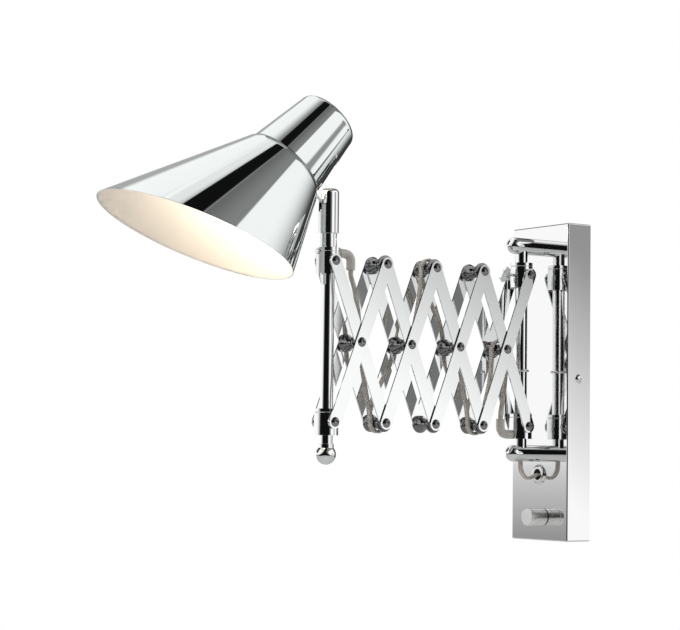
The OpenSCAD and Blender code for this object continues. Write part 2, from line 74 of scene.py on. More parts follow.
forward = Vector((-math.sin(CAM_AZIMUTH) * math.cos(CAM_PITCH),
                  math.cos(CAM_AZIMUTH) * math.cos(CAM_PITCH), math.sin(CAM_PITCH)))
level = Vector((math.cos(CAM_AZIMUTH), math.sin(CAM_AZIMUTH), 0))
upright = level.cross(forward)
right = math.cos(CAM_ROLL) * level + math.sin(CAM_ROLL) * upright
up = -math.sin(CAM_ROLL) * level + math.cos(CAM_ROLL) * upright
camera = bpy.data.objects.new("camera", bpy.data.cameras.new("camera"))
bpy.context.collection.objects.link(camera)
camera.data.lens = CAM_LENS
camera.data.sensor_width = 36
camera.data.clip_end = 50
camera.matrix_world = Matrix.Translation(CAM_AT) @ Matrix((right, up, -forward)).transposed().to_4x4()
bpy.context.scene.camera = camera

# %% [markdown]
# ## Node materials
# Mirror plating has no colour of its own, so its detail is in its roughness and in a very
# fine unevenness of the sheet. A small helper makes each material from its base values, and
# each finish then adds its own noise, read from Object coordinates so that it stays put.

# %% Material helpers
def new_material(name, **values):
    """A Principled material; values are its sockets, with _ for a space."""
    m = bpy.data.materials.new(name)
    m.use_nodes = True
    shader = m.node_tree.nodes["Principled BSDF"]
    for key, value in values.items():
        shader.inputs[key.replace("_", " ")].default_value = value
    return m, m.node_tree, shader


def add(tree, kind, inputs=(), **settings):
    """A node with settings, its inputs given as (socket, value or output)."""
    node = tree.nodes.new(kind)
    for key, value in settings.items():
        setattr(node, key, value)
    for socket, value in inputs:
        if isinstance(value, bpy.types.NodeSocket):
            tree.links.new(value, node.inputs[socket])
        else:
            node.inputs[socket].default_value = value
    return node


def rough_and_bump(tree, shader, scale, low, high, bump, distance=0.0002, stretch=(1, 1, 1)):
    """Noise that moves the roughness between low and high and lifts the surface by bump."""
    place = add(tree, "ShaderNodeTexCoord").outputs["Object"]
    turned = add(tree, "ShaderNodeMapping", [("Vector", place), ("Scale", stretch)]).outputs[0]
    noise = add(tree, "ShaderNodeTexNoise", [("Vector", turned), ("Scale", scale), ("Detail", 3.0)])
    span = add(tree, "ShaderNodeMapRange", [("Value", noise.outputs[0]), ("From Min", 0.3),
                                            ("From Max", 0.7), ("To Min", low), ("To Max", high)])
    tree.links.new(span.outputs[0], shader.inputs["Roughness"])
    if bump:
        lift = add(tree, "ShaderNodeBump", [("Height", noise.outputs[0]), ("Strength", bump),
                                            ("Distance", distance)])
        tree.links.new(lift.outputs[0], shader.inputs["Normal"])
    return noise


# %% [markdown]
# ## Metals
# The whole lamp is steel and brass plated with mirror chrome. The spun shade and the folded
# box are sheet, so their unevenness is wider and weaker than that of the turned parts. The
# screws are given a darker metal tone. The spools are chrome too; their colour is darkened to
# paint the shade and the dark reflections of the bars round them. The knob is turned and left satin.

# %% Metals
def plated(name, tone=(0.86, 0.87, 0.87), low=0.015, high=0.05, scale=60, bump=0.02):
    m, tree, shader = new_material(name, Base_Color=(*tone, 1), Metallic=1.0)
    rough_and_bump(tree, shader, scale, low, high, bump)
    return m


chrome = plated("polished_chrome")
shade_plate = plated("spun_shade_chrome", (0.79, 0.825, 0.82), 0.02, 0.06, 14, 0.012)
sheet_plate = plated("sheet_chrome", (0.85, 0.855, 0.85), 0.03, 0.07, 8, 0.01)
# a darker metal tone for the pivot screws, so their heads look dark
darker_pivot_metal = plated("darker_pivot_metal_tone", (0.3, 0.3, 0.305), 0.04, 0.1, 90, 0.03)
# the spools are chrome: this darker tone paints the shade and dark reflections of the bars round them
shaded_spool_chrome = plated("spool_chrome_painted_shade", (0.22, 0.22, 0.225), 0.03, 0.08, 90, 0.02)
steel = plated("dark_steel", (0.28, 0.28, 0.3), 0.35, 0.5, 200, 0.1)
brass = plated("bulb_cap_metal", (0.75, 0.68, 0.5), 0.2, 0.35, 300, 0.1)

knob_metal, tree, shader = new_material("turned_knob", Base_Color=(0.93, 0.93, 0.92, 1), Metallic=1.0,
                                        Anisotropic=0.6)
rough_and_bump(tree, shader, 900, 0.3, 0.42, 0.15, 0.0001, (1, 0.1, 1))
metals = (chrome, shade_plate, sheet_plate, darker_pivot_metal, shaded_spool_chrome, steel, brass, knob_metal)
print("metals", [m.name for m in metals])

# %% [markdown]
# ## Plastics, enamel and glass
# The shade is sprayed inside with a warm white enamel that spreads the light of the bulb. The
# bulb is frosted, so it glows evenly and is given an emission instead of a lamp inside. The
# lead's elbows are moulded in a milky clear plastic.

# %% Plastics, enamel and glass
enamel, tree, shader = new_material("shade_enamel", Base_Color=(0.79, 0.74, 0.67, 1))
rough_and_bump(tree, shader, 500, 0.35, 0.5, 0.05)

white_plastic, tree, shader = new_material("white_plastic", Base_Color=(0.9, 0.9, 0.87, 1))
rough_and_bump(tree, shader, 400, 0.25, 0.4, 0.05)
black_plastic, tree, shader = new_material("black_plastic", Base_Color=(0.03, 0.03, 0.032, 1))
rough_and_bump(tree, shader, 600, 0.4, 0.6, 0.1)
clip_plastic, tree, shader = new_material("clear_clip", Base_Color=(0.93, 0.9, 0.85, 1),
                                          Transmission_Weight=0.5, IOR=1.46)
rough_and_bump(tree, shader, 120, 0.05, 0.18, 0.08)
frosted, tree, shader = new_material("frosted_bulb", Base_Color=(1, 0.9, 0.74, 1))
rough_and_bump(tree, shader, 300, 0.4, 0.55, 0.03)
shader.inputs["Emission Color"].default_value = (1, 0.94, 0.85, 1)
shader.inputs["Emission Strength"].default_value = 7.0
print("others", [m.name for m in (enamel, white_plastic, black_plastic, clip_plastic, frosted)])

# %% [markdown]
# ## Material of the lead
# The lead is two stranded wires in clear plastic. Its UV map runs along and round the tube,
# so the strands can be drawn as slanted brown and silver lines that follow every bend.

# %% Lead material
lead_clear, tree, shader = new_material("clear_twin_lead", Transmission_Weight=0.25, IOR=1.48,
                                        Coat_Weight=0.6, Coat_Roughness=0.06)
uv = add(tree, "ShaderNodeUVMap", uv_map="along").outputs[0]
LAY, ALONG, ROUND = 0.12, 50, 4       # slant of the strands, and how fine they are each way
turned = add(tree, "ShaderNodeMapping", [("Vector", uv), ("Rotation", (0, 0, LAY)),
                                         ("Scale", (ALONG, ROUND, 1))])
strand = add(tree, "ShaderNodeTexNoise", [("Vector", turned.outputs[0]), ("Scale", 3.0), ("Detail", 2.0)])
ramp = add(tree, "ShaderNodeValToRGB", [("Fac", strand.outputs[0])])
ramp.color_ramp.elements.new(0.5)
for stop, place, colour in zip(ramp.color_ramp.elements, (0.32, 0.5, 0.68),
                               ((0.52, 0.45, 0.37, 1), (0.78, 0.73, 0.65, 1), (0.93, 0.91, 0.87, 1))):
    stop.position = place
    stop.color = colour
tree.links.new(ramp.outputs[0], shader.inputs["Base Color"])
tree.links.new(add(tree, "ShaderNodeMapRange", [("Value", strand.outputs[0]), ("To Min", 0.1),
                                                ("To Max", 0.3)]).outputs[0], shader.inputs["Roughness"])
print("lead material", lead_clear.name)

# %% [markdown]
# ## Turned and pressed parts
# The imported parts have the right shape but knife-sharp edges, and real metal never has those:
# a small rounding is what catches the light. Each rigid part is copied, its triangles are
# merged, its sharp edges get a fine bevel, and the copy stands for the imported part.

# %% Finishing helper
body_of_node = {n: body for body, names in frame["record"]["behaviour"]["bodies"].items() for n in names}
SHARP = math.radians(32)


def with_modifiers(mesh, *steps):
    """The mesh after modifiers, given as (kind, settings)."""
    holder = bpy.data.objects.new("holder", mesh)
    bpy.context.collection.objects.link(holder)
    for kind, settings in steps:
        modifier = holder.modifiers.new(kind, kind)
        for key, value in settings.items():
            setattr(modifier, key, value)
    graph = bpy.context.evaluated_depsgraph_get()
    result = bpy.data.meshes.new_from_object(holder.evaluated_get(graph))
    bpy.data.objects.remove(holder)
    return result


def flat_faces_flat(mesh):
    """Leans each edge's shading towards its larger face, so that flat faces mirror as flat."""
    mesh.set_sharp_from_angle(angle=math.radians(60))
    return with_modifiers(mesh, ("WEIGHTED_NORMAL", {"mode": "FACE_AREA", "weight": 100, "keep_sharp": True}))


def new_piece(name, mesh, body, material, *nodes):
    """Links a finished mesh as a piece that rides on body and stands for the given nodes."""
    piece = bpy.data.objects.new(name, mesh)
    bpy.context.collection.objects.link(piece)
    if material:
        mesh.materials.clear()
        mesh.materials.append(material)
    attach(piece, body)
    if nodes:
        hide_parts(*nodes)
    return piece


def outermost(edge, low, high):
    """Whether an edge lies on two of the part's outer planes, its open back left out."""
    planes = [(0, low), (0, high), (1, low), (2, low), (2, high)]
    return sum(all(abs(v.co[axis] - bound[axis]) < 1e-5 for v in edge.verts) for axis, bound in planes) >= 2


def dress(node, material, edge=0.25 * MM, steps=2, rounding=0):
    """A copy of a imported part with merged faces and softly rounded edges."""
    bm = bmesh.new()
    bm.from_mesh(frame["nodes"][node].data)
    bmesh.ops.remove_doubles(bm, verts=bm.verts, dist=1e-6)
    bmesh.ops.dissolve_limit(bm, angle_limit=math.radians(0.3), verts=bm.verts, edges=bm.edges)
    if rounding:
        outer = [e for e in bm.edges if outermost(e, *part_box(node))]
        bmesh.ops.bevel(bm, geom=outer, offset=rounding, segments=5, profile=0.5, affect="EDGES",
                        clamp_overlap=True)
    sharp = [e for e in bm.edges if e.is_manifold and e.calc_face_angle(0) > SHARP]
    if edge:
        bmesh.ops.bevel(bm, geom=sharp, offset=edge, segments=steps, profile=0.5, affect="EDGES",
                        clamp_overlap=True)
    for face in bm.faces:
        face.smooth = True
    mesh = bpy.data.meshes.new(node + "_finish")
    bm.to_mesh(mesh)
    bm.free()
    mesh = flat_faces_flat(mesh)
    return new_piece(node + "_finish", mesh, body_of_node[node], material, node)


# %% [markdown]
# ## Which finish goes where
# The cover is folded from sheet, so its front edges have a real bend radius, and it is done
# first and by itself. Turned parts get a fine edge, small screws a finer one.

# %% Dress the rigid parts
dress("wall_cover", sheet_plate, rounding=1.3 * MM)
for names, material, edge in (
        (("wall_bracket", "post_screws"), steel, 0.2 * MM),
        (("top_post", "bottom_post", "rear_rod", "front_rod", "rod_sleeve", "clevis", "knuckle",
          "rear_top_collar", "rear_bottom_collar", "front_top_collar", "front_bottom_collar"),
         chrome, 0.3 * MM),
        (("post_end_caps", "stop_ring", "cord_grommet", "thumb_screw", "rod_finial", "cover_screws",
          "collar_set_screw", "hinge_screw", "holder_nut", "dimmer_nut"), chrome, 0.15 * MM),
        ([f"bars_{row}{k}" for row in "ab" for k in range(4)], chrome, 0.25 * MM),
        (("dimmer_knob",), knob_metal, 0.2 * MM),
        (("dimmer_body",), black_plastic, 0.3 * MM),
        (("terminal_block", "lampholder"), white_plastic, 0.4 * MM),
        (("rear_cord_clip", "front_cord_clip"), clip_plastic, 0.8 * MM),
        (("bulb_cap",), brass, 0.2 * MM)):
    for node in names:
        dress(node, material, edge)

# %% [markdown]
# ## Screws and spools
# The same button-head screw and the same turned spool come back at every pivot, so each is
# made once, and a Geometry Nodes tree puts it on the pivots of one bar. The socket's six
# sides come from rings whose radius follows a hexagon instead of a circle.

# %% Turning helper
def turned_mesh(name, rings, sides):
    """A closed mesh from rings (radius or function of the turn, height along X)."""
    bm = bmesh.new()
    rows = []
    for radius, height in rings:
        row = []
        for i in range(sides):
            turn = 2 * math.pi * i / sides
            r = radius(turn) if callable(radius) else radius
            row.append(bm.verts.new((height, r * math.cos(turn), r * math.sin(turn))))
        rows.append(row)
    for a, b in zip(rows, rows[1:]):
        for i in range(sides):
            j = (i + 1) % sides
            bm.faces.new((a[i], a[j], b[j], b[i])).smooth = True
    for row in (rows[0], rows[-1]):
        bm.faces.new(row)
    bmesh.ops.recalc_face_normals(bm, faces=bm.faces)
    mesh = bpy.data.meshes.new(name)
    bm.to_mesh(mesh)
    bm.free()
    mesh.set_sharp_from_angle(angle=SHARP)
    return mesh


# %% [markdown]
# ## Screw and spool
# The pivot screws are button heads with a hexagon socket: a part of a ball with a flat foot.
# The spools that keep the two lattices apart are turned with a hollow waist, where the lead
# lies.

# %% Screw and spool
HEAD_R, HEAD_H, SHANK_R = 4.75 * MM, 2.7 * MM, 2.5 * MM
SOCKET_R, SOCKET_DEEP = 1.6 * MM, 1.7 * MM
SPOOL_R, WAIST_R, SPOOL_HALF = 8.5 * MM, 5.7 * MM, 12 * MM


def hexagon(r):
    return lambda turn: r * math.cos(math.pi / 6) / math.cos((turn % (math.pi / 3)) - math.pi / 6)


ball = (HEAD_R ** 2 + HEAD_H ** 2) / (2 * HEAD_H)
dome = [(math.sqrt(ball ** 2 - (HEAD_H * t + ball - HEAD_H) ** 2), HEAD_H * t)
        for t in (0.06, 0.25, 0.45, 0.62, 0.76, 0.86)]
screw_mesh = turned_mesh("button_screw", [
    (SHANK_R, -9.4 * MM), (SHANK_R, -0.01 * MM), (HEAD_R - 0.25 * MM, 0), *dome,
    (SOCKET_R + 0.35 * MM, HEAD_H * 0.93), (hexagon(SOCKET_R + 0.1 * MM), HEAD_H * 0.9),
    (hexagon(SOCKET_R), HEAD_H * 0.86), (hexagon(SOCKET_R), HEAD_H - SOCKET_DEEP),
    (0.1 * MM, HEAD_H - SOCKET_DEEP - 0.3 * MM)], 36)

flat = 2.5 * MM
waist = [(WAIST_R + (SPOOL_R - WAIST_R) * (abs(t) ** 2.1), t * (SPOOL_HALF - flat))
         for t in [i / 10 for i in range(-10, 11)]]
spool_mesh = turned_mesh("spool", [
    (3 * MM, -SPOOL_HALF), (SPOOL_R - 0.5 * MM, -SPOOL_HALF),
    (SPOOL_R - 0.15 * MM, -SPOOL_HALF + 0.15 * MM), (SPOOL_R, -SPOOL_HALF + 0.5 * MM),
    *waist,
    (SPOOL_R, SPOOL_HALF - 0.5 * MM), (SPOOL_R - 0.15 * MM, SPOOL_HALF - 0.15 * MM),
    (SPOOL_R - 0.5 * MM, SPOOL_HALF), (3 * MM, SPOOL_HALF)], 64)
print("screw and spool", len(screw_mesh.polygons), len(spool_mesh.polygons), "faces")

# %% [markdown]
# ## Repeating a part
# On the lamp every pivot has the same screws and spool. Copies could be placed one by one. A
# node tree does it with four named inputs: the pivots, the part, its turn and its finish.

# %% The tree that places a part on pivots
repeat_tree = bpy.data.node_groups.new("part_on_pivots", "GeometryNodeTree")
for socket, kind in (("Pivots", "NodeSocketGeometry"), ("Part", "NodeSocketObject"),
                     ("Turn", "NodeSocketVector"), ("Finish", "NodeSocketMaterial")):
    repeat_tree.interface.new_socket(socket, in_out="INPUT", socket_type=kind)
repeat_tree.interface.new_socket("Geometry", in_out="OUTPUT", socket_type="NodeSocketGeometry")
given = repeat_tree.nodes.new("NodeGroupInput")
part = add(repeat_tree, "GeometryNodeObjectInfo", [("Object", given.outputs["Part"])])
placed = add(repeat_tree, "GeometryNodeInstanceOnPoints", [
    ("Points", given.outputs["Pivots"]), ("Instance", part.outputs["Geometry"]),
    ("Rotation", given.outputs["Turn"])])
real = add(repeat_tree, "GeometryNodeRealizeInstances", [("Geometry", placed.outputs[0])])
finished = add(repeat_tree, "GeometryNodeSetMaterial", [
    ("Geometry", real.outputs[0]), ("Material", given.outputs["Finish"])])
add(repeat_tree, "NodeGroupOutput", [("Geometry", finished.outputs[0])])
SOCKET_ID = {item.name: item.identifier for item in repeat_tree.interface.items_tree
             if item.in_out == "INPUT"}
print("inputs", SOCKET_ID)


def on_pivots(part_mesh, points, turn=(0, 0, 0)):
    """A plain mesh of part_mesh at each point, made by the tree."""
    holder = bpy.data.objects.new("part", part_mesh)
    base = bpy.data.meshes.new("pivots")
    base.from_pydata(points, [], [])
    carrier = bpy.data.objects.new("pivots", base)
    for o in (holder, carrier):
        bpy.context.collection.objects.link(o)
    modifier = carrier.modifiers.new("repeat", "NODES")
    modifier.node_group = repeat_tree
    modifier[SOCKET_ID["Part"]] = holder
    modifier[SOCKET_ID["Turn"]] = turn
    modifier[SOCKET_ID["Finish"]] = darker_pivot_metal
    graph = bpy.context.evaluated_depsgraph_get()
    mesh = bpy.data.meshes.new_from_object(carrier.evaluated_get(graph))
    for o in (carrier, holder):
        bpy.data.objects.remove(o)
    return mesh


def joined(name, meshes):
    """One mesh from several."""
    bm = bmesh.new()
    for mesh in meshes:
        bm.from_mesh(mesh)
    result = bpy.data.meshes.new(name)
    bm.to_mesh(result)
    bm.free()
    return result


# %% [markdown]
# ## Screws and spools on their bars
# The pivots are where the joints say. Each screw and spool turns with one bar of its pivot,
# so it belongs to that bar's body.

# %% Screws and spools on their bars
def pivot(joint):
    return Vector(joints[joint]["pos_m"])


top = [pivot("arm_extend")] + [pivot(f"top_{k}") for k in (1, 2, 3)] + [pivot("front_top_pivot")]
middle = [pivot(f"cross_{k}") for k in range(4)]
low = [Vector((0, p.y, pivot("rear_slide").z)) for p in top]
OUTER_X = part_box("bars_a0")[1].x
INNER_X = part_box("bars_b0")[1].x


def screw_pair(name, points, x, body, node):
    half_turn = (0, 0, math.pi)
    near = on_pivots(screw_mesh, [p + Vector((x, 0, 0)) for p in points])
    far = on_pivots(screw_mesh, [p - Vector((x, 0, 0)) for p in points], half_turn)
    return new_piece(name, joined(name, [near, far]), body, darker_pivot_metal, node)


for k in range(4):
    screw_pair(f"pivot_screws_a{k}", [top[k], middle[k], low[k + 1]], OUTER_X, f"bar_a{k}", f"screws_a{k}")
    spots = [middle[k]] + ([top[k]] if k > 0 else []) + ([low[k + 1]] if k < 3 else [])
    name = f"turned_spools_a{k}"
    # the spools get chrome darkened to paint the shade between the bars
    new_piece(name, on_pivots(spool_mesh, spots), f"bar_a{k}", shaded_spool_chrome, f"spools_a{k}")
screw_pair("pivot_screws_b0", [low[0]], INNER_X, "bar_b0", "screws_b0")
screw_pair("pivot_screws_b3", [top[4]], INNER_X, "bar_b3", "screws_b3")
print("pivots at", [round(p.y, 4) for p in top])

# %% [markdown]
# ## The shade
# The shade is two spun shells. The cone is spun as a full cone and then cut off at a slant, so
# its rim is an ellipse. The neck behind it is a shallow cup with a rounded end and one long
# slot for the knuckle. Both are drawn from their profiles here, because a spun surface must
# be perfectly even to reflect cleanly. The inside is lined with warm white enamel.

# %% Frame of the shade
BASE = {"radius": 41.8, "angle": 23.5, "length": 106, "mouth": 22, "neck": 40.6, "neck_end": 30.4,
        "neck_length": 69, "wall": 1.0, "round": 7.0, "slot": 36, "slot_share": 0.55}
HINGE = Vector((0, joints["shade_tilt"]["pos_m"][1], joints["shade_tilt"]["pos_m"][2]))
shade_frame = (Matrix.Translation(HINGE) @ Matrix.Rotation(math.radians(-7.4), 4, "Z")
               @ Matrix.Rotation(math.radians(46.4 - 90), 4, "X")
               @ Matrix.Translation(Vector((0, -54.5, -12)) * MM) @ Matrix.Scale(MM, 4))


def cone_point(turn, z, inset):
    """A point of the cone at a turn and height (mm), moved inwards by inset."""
    angle = math.radians(BASE["angle"])
    r = BASE["radius"] - z * math.tan(angle) - inset / math.cos(angle)
    return Vector((r * math.cos(turn), r * math.sin(turn), z))


def rim_height(turn, inset):
    """Where the slanted cut ends the cone at this turn."""
    tilt, slope = math.tan(math.radians(BASE["mouth"])), math.tan(math.radians(BASE["angle"]))
    r0 = BASE["radius"] - inset / math.cos(math.radians(BASE["angle"]))
    # on the cut, z = -length + y * tan(mouth), with y = (r0 - z * slope) * sin(turn)
    k = tilt * math.sin(turn)
    return (-BASE["length"] + k * r0) / (1 + k * slope)


def shell_mesh(name, rows, sides, groups):
    """A skin through rows of points; groups gives the material of each band."""
    bm = bmesh.new()
    rings = [[bm.verts.new(p) for p in row] for row in rows]
    for (a, b), material in zip(zip(rings, rings[1:]), groups):
        for i in range(sides):
            j = (i + 1) % sides
            face = bm.faces.new((a[i], a[j], b[j], b[i]))
            face.smooth = True
            face.material_index = material
    return bm


# %% [markdown]
# ## Cone
# The cone is rings of points from the rolled shoulder down to the slanted rim, round the rim
# and back up inside. The outer skin is plated and the inner one enamelled, so the skin's
# bands carry one of two materials.

# %% Cone
SIDES = 360
turns = [2 * math.pi * i / SIDES for i in range(SIDES)]
wall = BASE["wall"]
shoulder = [(3.0, 0.0), (2.0, -0.12), (1.1, -0.5), (0.45, -1.1), (0.12, -1.8), (0.0, -3.0)]
rows = []
inner_lip = BASE["radius"] - 8.8
rows.append([Vector((inner_lip * math.cos(t), inner_lip * math.sin(t), 0)) for t in turns])
for inset, z in shoulder:
    rows.append([Vector(((BASE["radius"] - inset - z * math.tan(math.radians(BASE["angle"])) * (inset == 0))
                         * math.cos(t), (BASE["radius"] - inset
                         - z * math.tan(math.radians(BASE["angle"])) * (inset == 0)) * math.sin(t), z))
                 for t in turns])
STEPS = 40
for i in range(1, STEPS + 1):
    rows.append([cone_point(t, -3 + (rim_height(t, 0) + 0.25 + 3) * i / STEPS, 0) for t in turns])
rows.append([cone_point(t, rim_height(t, 0) + 0.05, 0.12) for t in turns])
rows.append([cone_point(t, rim_height(t, 0.35), 0.35) for t in turns])
rows.append([cone_point(t, rim_height(t, 0.65), 0.65) for t in turns])
rows.append([cone_point(t, rim_height(t, 1) + 0.05, 0.88) for t in turns])
edge_row = len(rows)
for i in range(STEPS + 1):
    rows.append([cone_point(t, rim_height(t, wall) + 0.25
                            + (-1 - wall - rim_height(t, wall)) * i / STEPS, wall) for t in turns])
rows.append([Vector((inner_lip * math.cos(t), inner_lip * math.sin(t), -wall)) for t in turns])
rows.append(rows[0])
groups = [0 if i < edge_row else 1 for i in range(len(rows) - 1)]
bm = shell_mesh("cone", rows, SIDES, groups)
bmesh.ops.remove_doubles(bm, verts=bm.verts, dist=0.001)
bmesh.ops.recalc_face_normals(bm, faces=bm.faces)
bm.transform(shade_frame)
cone_mesh = bpy.data.meshes.new("spun_cone")
bm.to_mesh(cone_mesh)
bm.free()
cone_mesh.set_sharp_from_angle(angle=SHARP)
new_piece("spun_cone", cone_mesh, "head", None, "shade_cone")
for finish in (shade_plate, enamel):
    cone_mesh.materials.append(finish)
print("cone", len(cone_mesh.polygons), "faces")

# %% [markdown]
# ## Neck
# The neck's columns are spread so that two of them run exactly along the slot's edges. The
# slot is then left open between them, and the sheet gets its thickness afterwards.

# %% Neck
def neck_radius(z):
    """Outer radius of the neck's skin at height z along its profile."""
    slope = (BASE["neck"] - BASE["neck_end"]) / BASE["neck_length"]
    return BASE["neck"] - slope * z


round_r, length = BASE["round"], BASE["neck_length"]
slope = (BASE["neck"] - BASE["neck_end"]) / length
slot_end = length * BASE["slot_share"]
heights = [slot_end * i / 16 for i in range(17)] + [slot_end + (length - round_r - slot_end) * i / 10
                                                   for i in range(1, 11)]
profile = [(neck_radius(z), z) for z in heights]
corner_r = neck_radius(length - round_r) - round_r
profile += [(corner_r + round_r * math.cos(a), length - round_r + round_r * math.sin(a))
            for a in [math.radians(7.5 * k) for k in range(1, 13)]]
profile += [(r, length) for r in (18, 12, 8, 5.2)]
SLOT_COLS, BACK_COLS = 40, 200
bm = bmesh.new()
rings = []
for r, z in profile:
    half = math.asin(min(1, BASE["slot"] / 2 / max(r, 30)))
    angles = [math.pi / 2 - half + 2 * half * i / SLOT_COLS for i in range(SLOT_COLS)]
    angles += [math.pi / 2 + half + (2 * math.pi - 2 * half) * i / BACK_COLS for i in range(BACK_COLS)]
    rings.append([bm.verts.new((r * math.cos(a), r * math.sin(a), z)) for a in angles])
columns = SLOT_COLS + BACK_COLS
for row, (a, b) in enumerate(zip(rings, rings[1:])):
    for i in range(columns):
        if row < 16 and i < SLOT_COLS:
            continue
        j = (i + 1) % columns
        bm.faces.new((a[i], a[j], b[j], b[i])).smooth = True
bmesh.ops.delete(bm, geom=[v for v in bm.verts if not v.link_faces], context="VERTS")
bmesh.ops.recalc_face_normals(bm, faces=bm.faces)
outward = sum((f.normal.dot(f.calc_center_median() - Vector((0, 0, 20))) for f in bm.faces))
if outward < 0:
    bmesh.ops.reverse_faces(bm, faces=bm.faces)
bm.transform(shade_frame)
neck_skin = bpy.data.meshes.new("neck_skin")
bm.to_mesh(neck_skin)
bm.free()


neck_skin.materials.append(shade_plate)
neck_skin.materials.append(enamel)
neck_mesh = with_modifiers(
    neck_skin,
    ("SOLIDIFY", {"thickness": BASE["wall"] * MM, "offset": -1, "use_even_offset": True,
                  "material_offset": 1}),
    ("BEVEL", {"width": 0.2 * MM, "segments": 2, "limit_method": "ANGLE", "angle_limit": math.radians(60)}))
for polygon in neck_mesh.polygons:
    polygon.use_smooth = True
neck_mesh = flat_faces_flat(neck_mesh)
new_piece("spun_neck", neck_mesh, "head", None, "shade_neck")
print("neck", len(neck_mesh.polygons), "faces")

# %% [markdown]
# ## Bulb
# A frosted globe bulb: the glass narrows smoothly to the cap. It glows softly and evenly.

# %% Bulb
BULB_R, BULB_Z = 30, -44
neck_of_glass = [(24.6, -27.2), (22.2, -18), (20.4, -12), (18.4, -7), (16.2, -2), (14.6, 3), (13.6, 8),
                 (13, 10)]
outline = [(BULB_R * math.cos(math.radians(a)), BULB_Z + BULB_R * math.sin(math.radians(a)))
           for a in range(-88, 33, 4)] + neck_of_glass[1:]
glass = turned_mesh("globe_bulb", [(r, z) for r, z in outline], 96)
turned = shade_frame @ Matrix(((0, 1, 0, 0), (0, 0, 1, 0), (1, 0, 0, 0), (0, 0, 0, 1)))
glass.transform(turned)
new_piece("globe_bulb", glass, "head", frosted, "bulb_glass")
print("bulb of", 2 * BULB_R, "mm")

# %% [markdown]
# ## The clear twin lead
# The lead is a flat clear cord of two stranded wires. It leaves the front collar's clip, weaves
# round the spools, and comes back through the rear rod to the wall box. On the lamp it is one
# cord. Here it is cut at the pivots, in arcs round each spool, so that the pieces slide over
# each other and stay closed when the lattice opens and folds.

# %% Lead helper
def smooth_path(points, steps):
    """A Catmull-Rom curve through the points."""
    result = []
    for i in range(len(points) - 1):
        a, b = points[max(i - 1, 0)], points[i]
        c, d = points[i + 1], points[min(i + 2, len(points) - 1)]
        for s in range(steps):
            t = s / steps
            result.append(0.5 * (2 * b + (c - a) * t + (2 * a - 5 * b + 4 * c - d) * t * t
                                 + (3 * b - a - 3 * c + d) * t ** 3))
    return result + [points[-1]]


def lead_mesh(name, points, x_side=1.42, r=1.52, sides=16, steps=6):
    """Two joined round cores side by side, swept along points near the plane x = 0."""
    path = smooth_path([Vector(p) for p in points], steps)
    bm = bmesh.new()
    layer = bm.loops.layers.uv.new("along")
    section = []
    for k in range(2 * sides):
        core = 1 if k < sides else -1
        turn = -math.pi * 0.72 + math.pi * 1.44 * (k % sides) / (sides - 1)
        if core < 0:
            turn += math.pi
        section.append((core * x_side + r * math.cos(turn), r * math.sin(turn)))
    run, lengths, rings = 0, [], []
    for i, p in enumerate(path):
        if i:
            run += (p - path[i - 1]).length
        lengths.append(run)
        tangent = (path[min(i + 1, len(path) - 1)] - path[max(i - 1, 0)]).normalized()
        sideways = Vector((1, 0, 0))
        sideways = (sideways - tangent * sideways.dot(tangent)).normalized()
        depth = tangent.cross(sideways)
        rings.append([bm.verts.new(p + (sideways * x + depth * y) * MM) for x, y in section])
    n = len(section)
    for i, (a, b) in enumerate(zip(rings, rings[1:])):
        for k in range(n):
            j = (k + 1) % n
            face = bm.faces.new((a[k], a[j], b[j], b[k]))
            face.smooth = True
            for loop, (v, u) in zip(face.loops, ((i, k), (i, k + 1), (i + 1, k + 1), (i + 1, k))):
                loop[layer].uv = (lengths[v], u / n)
    bm.faces.new(rings[0])
    bm.faces.new(rings[-1])
    bmesh.ops.recalc_face_normals(bm, faces=bm.faces)
    mesh = bpy.data.meshes.new(name)
    bm.to_mesh(mesh)
    bm.free()
    return mesh


def arc(centre, r, start, end, count=9):
    """Points [y, z] in mm on an arc round a pivot; angles in degrees from +Y towards +Z."""
    return [(centre.y * 1000 + r * math.cos(math.radians(start + (end - start) * i / (count - 1))),
             centre.z * 1000 + r * math.sin(math.radians(start + (end - start) * i / (count - 1))))
            for i in range(count)]


def in_plane(points):
    return [Vector((0, y, z)) * MM for y, z in points]

# %% [markdown]
# ## Runs of the lead
# Each run follows one bar, from an arc round one spool to an arc round the next, at the radius
# that the lead has when it lies in the spool's waist. The first and last runs leave a bar and
# enter an elbow that is fixed to a collar, so they are left on no body and stay as drawn.

# %% Leads
WRAP = 8.3      # radius of the lead's middle line round a spool, in mm
T2, B1, B3, M0 = top[2], low[1], low[3], middle[0]
ELBOW = [(26, -9), (26, 0), (25.4, 4), (22.6, 7.2), (18, 8.2), (8, 8.2)]    # (out, up) from the pivot
front_run = [(top[4].y * 1000 + out, top[4].z * 1000 + up) for out, up in ELBOW]
rear_run = [(top[0].y * 1000 - out, low[0].z * 1000 - up) for out, up in ELBOW]
runs = {
    "lead_b3": ("bar_b3", [(-264.1, 99), (-263.4, 93), (-260, 84), (-256.4, 68), (-253.6, 50),
                           (-252, 31), (-250, 12), (-246, -10), (-242, -28)] + arc(B3, WRAP, 170, 300)),
    "lead_a2": ("bar_a2", arc(B3, WRAP, 240, 358) + [(-218, -26), (-207, -4), (-196, 16), (-192, 36),
                                                     (-187, 56), (-183, 76), (-181, 94)]
                + arc(T2, WRAP, 176, 60)),
    "lead_b1": ("bar_b1", arc(T2, WRAP, 120, 4) + [(-157, 88), (-146, 68), (-137, 50), (-134, 31),
                                                   (-132, 12), (-127, -12), (-123, -30)]
                + arc(B1, WRAP, 172, 300)),
    "lead_a0": ("bar_a0", arc(B1, WRAP, 240, 358) + [(-100, -24), (-95, -4), (-92.4, 14)]
                + arc(M0, WRAP, 180, 60)),
    "lead_b0": ("bar_b0", arc(M0, WRAP, 120, 2) + [(-74, 14), (-75, -2), (-77.6, -20), (-79.6, -30),
                                                   (-80.1, -37)]),
}
